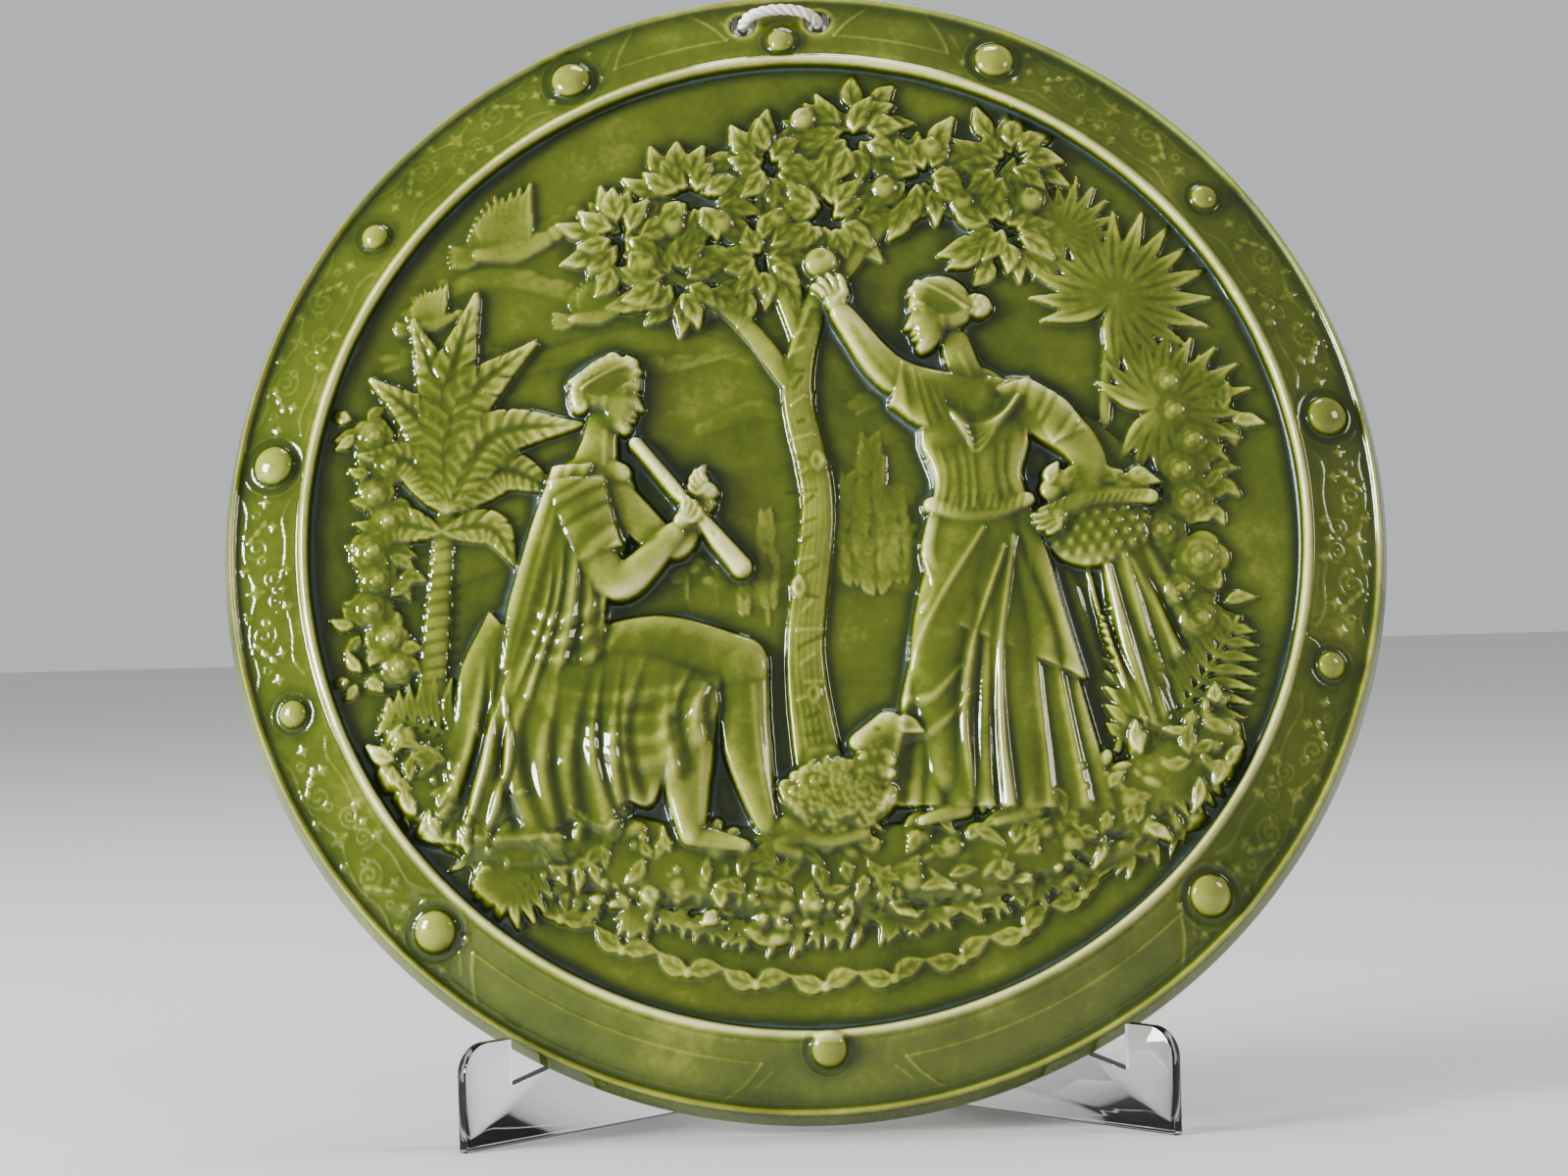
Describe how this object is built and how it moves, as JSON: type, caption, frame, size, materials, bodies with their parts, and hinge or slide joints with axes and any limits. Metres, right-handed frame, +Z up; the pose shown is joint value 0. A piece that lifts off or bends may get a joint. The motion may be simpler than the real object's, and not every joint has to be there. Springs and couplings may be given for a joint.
{
  "type": "decorative wall plaque",
  "caption": "Round glazed relief wall plaque with a bossed rim and a hanging cord, leaning on a clear two-piece cross-lap stand.",
  "frame": {"origin": "on the ground, below the middle of the box round the plaque and its stand", "axes": "+Z up, the plaque faces -Y and leans back by 14 degrees, +X is to the right of someone who looks at its front"},
  "size_m": [0.4998, 0.1768, 0.488],
  "materials": {
    "glaze": "high gloss lead glaze, dark where it pools",
    "acrylic": "clear polished acrylic",
    "cotton": "off-white twisted cotton"
  },
  "bodies": {
    "root": {"plaque": "glaze", "stand_half_left": "acrylic", "stand_half_right": "acrylic", "hanging_cord": "cotton", "cord_knot": "cotton"}
  },
  "joints": []
}
